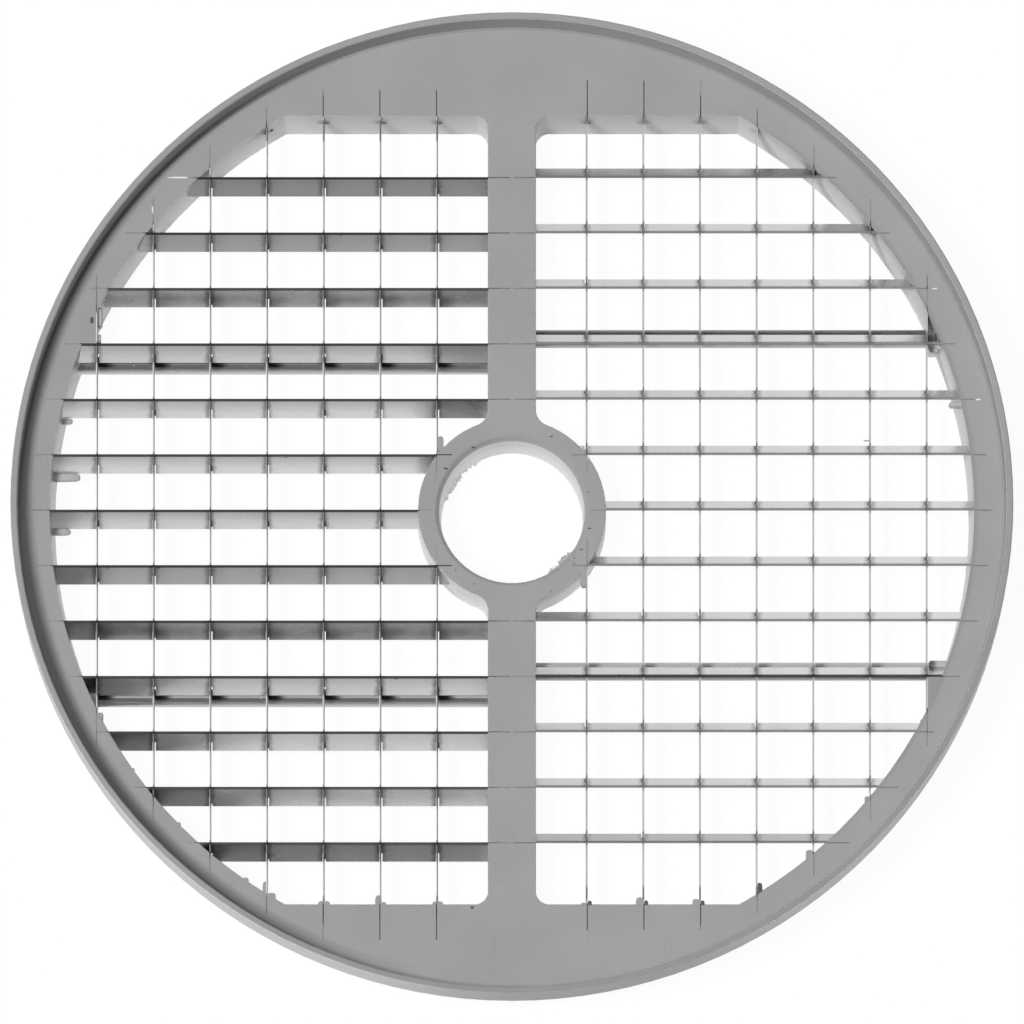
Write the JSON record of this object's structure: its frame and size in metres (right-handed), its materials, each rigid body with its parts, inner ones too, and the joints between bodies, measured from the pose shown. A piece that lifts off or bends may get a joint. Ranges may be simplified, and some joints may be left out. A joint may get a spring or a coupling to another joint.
{
  "type": "vegetable dicing grid",
  "caption": "Round dicing grid for a vegetable cutting machine: a lipped plastic ring with spoke and bored hub, holding interlocked slanted and upright steel strip blades.",
  "frame": {"origin": "on the shaft axis, at the back of the frame", "axes": "+Z along the shaft axis towards the cutting face, +Y along the spoke, +X across the spoke"},
  "size_m": [0.177, 0.177, 0.0174],
  "materials": {
    "moulding": "light grey moulded plastic with a fine satin surface",
    "blade_steel": "cold rolled stainless strip with a ground edge",
    "rod_steel": "drawn stainless rod"
  },
  "bodies": {
    "root": {"frame": "moulding", "left_blade_1": "blade_steel", "left_blade_2": "blade_steel", "left_blade_3": "blade_steel", "left_blade_4": "blade_steel", "left_blade_5": "blade_steel", "left_blade_6": "blade_steel", "left_blade_7": "blade_steel", "left_blade_8": "blade_steel", "left_blade_9": "blade_steel", "left_blade_10": "blade_steel", "left_blade_11": "blade_steel", "left_blade_12": "blade_steel", "left_blade_13": "blade_steel", "right_blade_1": "blade_steel", "right_blade_2": "blade_steel", "right_blade_3": "blade_steel", "right_blade_4": "blade_steel", "right_blade_5": "blade_steel", "right_blade_6": "blade_steel", "right_blade_7": "blade_steel", "right_blade_8": "blade_steel", "right_blade_9": "blade_steel", "right_blade_10": "blade_steel", "right_blade_11": "blade_steel", "right_blade_12": "blade_steel", "right_blade_13": "blade_steel", "left_cross_blade_1_upper": "blade_steel", "left_cross_blade_1_lower": "blade_steel", "right_cross_blade_1_upper": "blade_steel", "right_cross_blade_1_lower": "blade_steel", "left_cross_blade_2": "blade_steel", "left_cross_blade_3": "blade_steel", "left_cross_blade_4": "blade_steel", "left_cross_blade_5": "blade_steel", "left_cross_blade_6": "blade_steel", "left_cross_blade_7": "blade_steel", "right_cross_blade_2": "blade_steel", "right_cross_blade_3": "blade_steel", "right_cross_blade_4": "blade_steel", "right_cross_blade_5": "blade_steel", "right_cross_blade_6": "blade_steel", "right_cross_blade_7": "blade_steel", "support_rod_left_upper": "rod_steel", "support_rod_left_lower": "rod_steel", "support_rod_right_upper": "rod_steel", "support_rod_right_lower": "rod_steel"}
  },
  "joints": []
}
